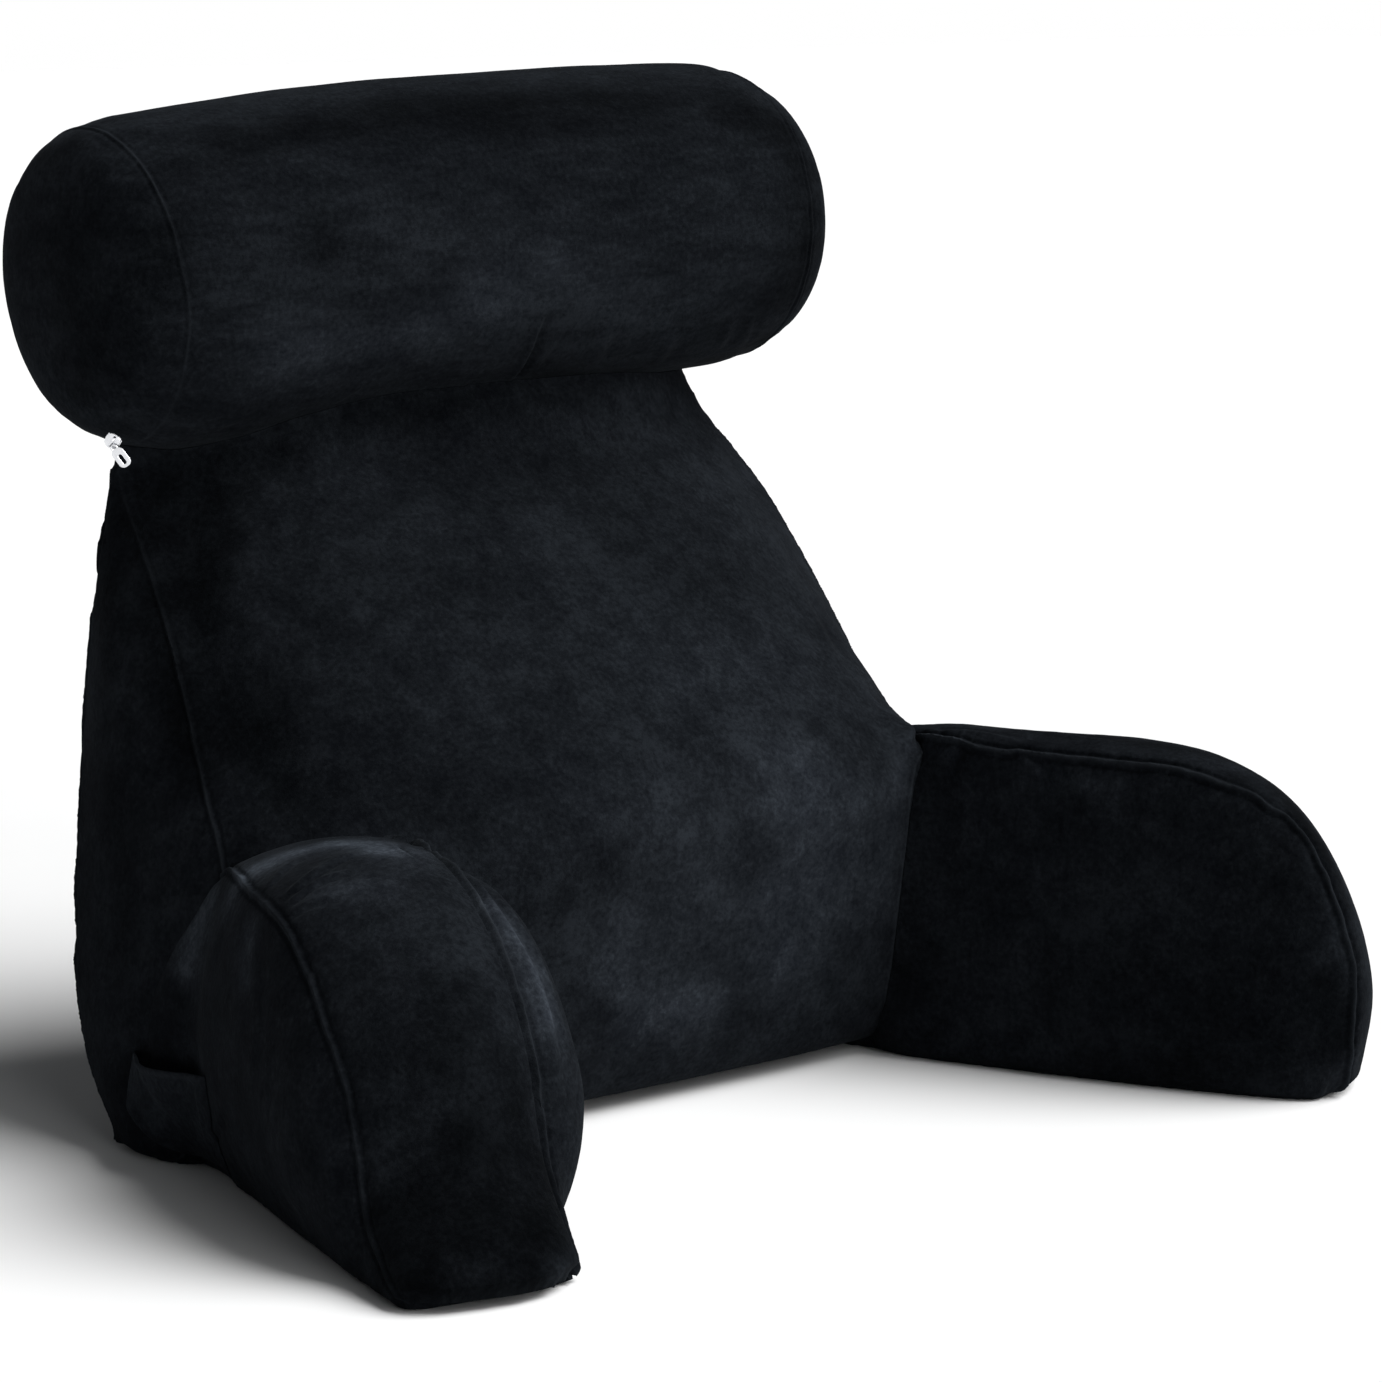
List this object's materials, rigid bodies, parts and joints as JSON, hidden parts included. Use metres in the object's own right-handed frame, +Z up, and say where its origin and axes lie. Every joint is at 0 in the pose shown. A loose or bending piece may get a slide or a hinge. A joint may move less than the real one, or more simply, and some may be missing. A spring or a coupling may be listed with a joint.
{
  "type": "reading pillow with arms",
  "caption": "Filled wedge-shaped backrest cushion with rounded armrests, a bolster neck roll along its top edge and an open side pocket, covered in black plush.",
  "frame": {"origin": "under the middle of the whole pillow, on the surface it stands on", "axes": "+Z up, -Y towards the sitter (the arms point that way), +X to the right as seen from the front"},
  "size_m": [0.7326, 0.5964, 0.6097],
  "materials": {
    "plush": "short black plush pile, brushed in mixed directions",
    "zip_metal": "bright plated zip slider and pull"
  },
  "bodies": {
    "root": {"back_cushion": "plush", "arm_left": "plush", "arm_right": "plush", "neck_roll": "plush", "arm_pocket": "plush", "zip_slider": "zip_metal", "zip_pull": "zip_metal"}
  },
  "joints": []
}
